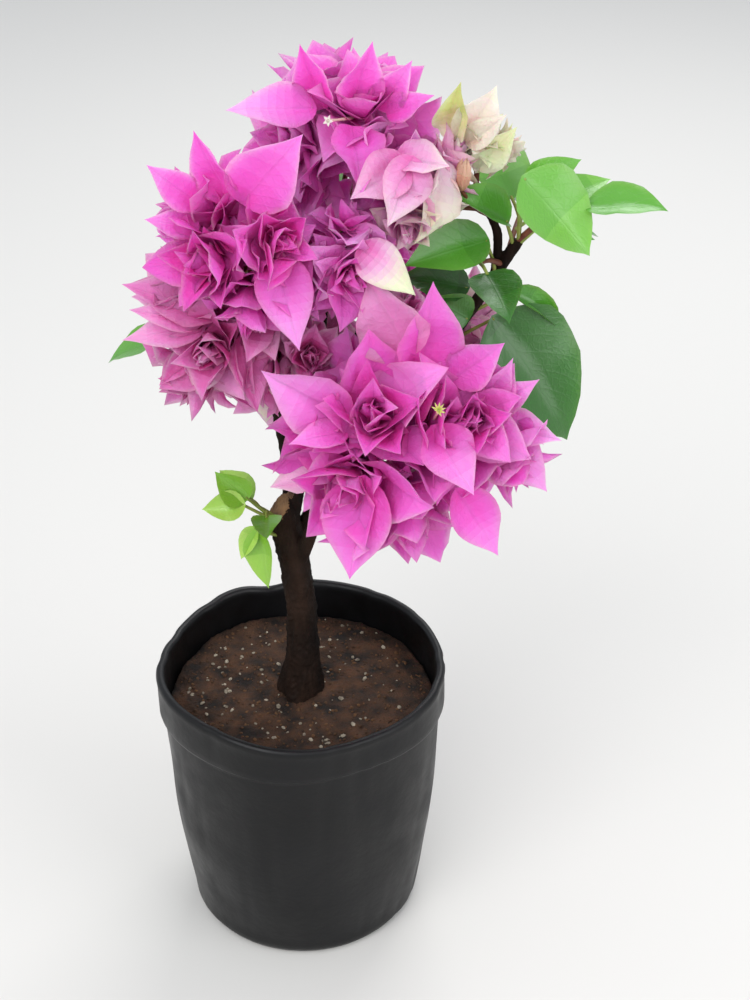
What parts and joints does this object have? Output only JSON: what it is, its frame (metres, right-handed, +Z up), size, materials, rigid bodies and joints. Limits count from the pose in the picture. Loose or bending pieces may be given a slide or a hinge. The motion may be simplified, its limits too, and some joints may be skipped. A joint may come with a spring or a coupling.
{
  "type": "potted bougainvillea bush",
  "caption": "Young double-flowered bougainvillea with a thick cut trunk, pink bract heads and glossy leaves, in a soft black nursery pot.",
  "frame": {"origin": "middle of the pot's flat underside", "axes": "+Z up the pot and the trunk, -Y towards the viewer of the picture, +X to the viewer's right"},
  "size_m": [0.2086, 0.1762, 0.373],
  "materials": {
    "pot": "black soft plastic, satin with fine creases",
    "soil": "damp loam with grit and small pale stones",
    "bark": "dark brown fissured bark, redder on young wood",
    "bract_bright": "papery hot pink bracts with fine veins",
    "bract_faded": "papery faded pink bracts, cream at some edges",
    "bract_young": "papery cream and green young bracts",
    "leaf": "glossy green leaves with a sunken midrib",
    "leaf_young": "glossy light green young leaves"
  },
  "bodies": {
    "root": {"pot": "pot", "soil": "soil", "trunk": "bark", "bough_right": "bark", "bough_right_fork": "bark", "bough_centre": "bark", "bough_left": "bark", "bough_left_low": "bark", "bough_front": "bark", "bough_front_right": "bark", "bough_back": "bark", "bough_back_right": "bark", "bough_back_low": "bark", "bloom_top": "bract_bright", "bloom_upper_right": "bract_faded", "bloom_young": "bract_young", "bloom_left": "bract_bright", "bloom_centre": "bract_faded", "bloom_left_low": "bract_faded", "bloom_inner": "bract_faded", "bloom_front": "bract_bright", "bloom_front_right": "bract_bright", "bloom_front_upper": "bract_faded", "bloom_back_left": "bract_bright", "bloom_back_right": "bract_bright", "bloom_back_low": "bract_faded", "bloom_right_back": "bract_faded", "leaves_right_top": "leaf", "leaves_right_low": "leaf", "leaves_middle": "leaf", "leaves_right_back": "leaf", "leaves_back_top": "leaf", "leaves_back": "leaf", "leaves_left_back": "leaf", "leaves_foot_shoot": "leaf_young"}
  },
  "joints": []
}
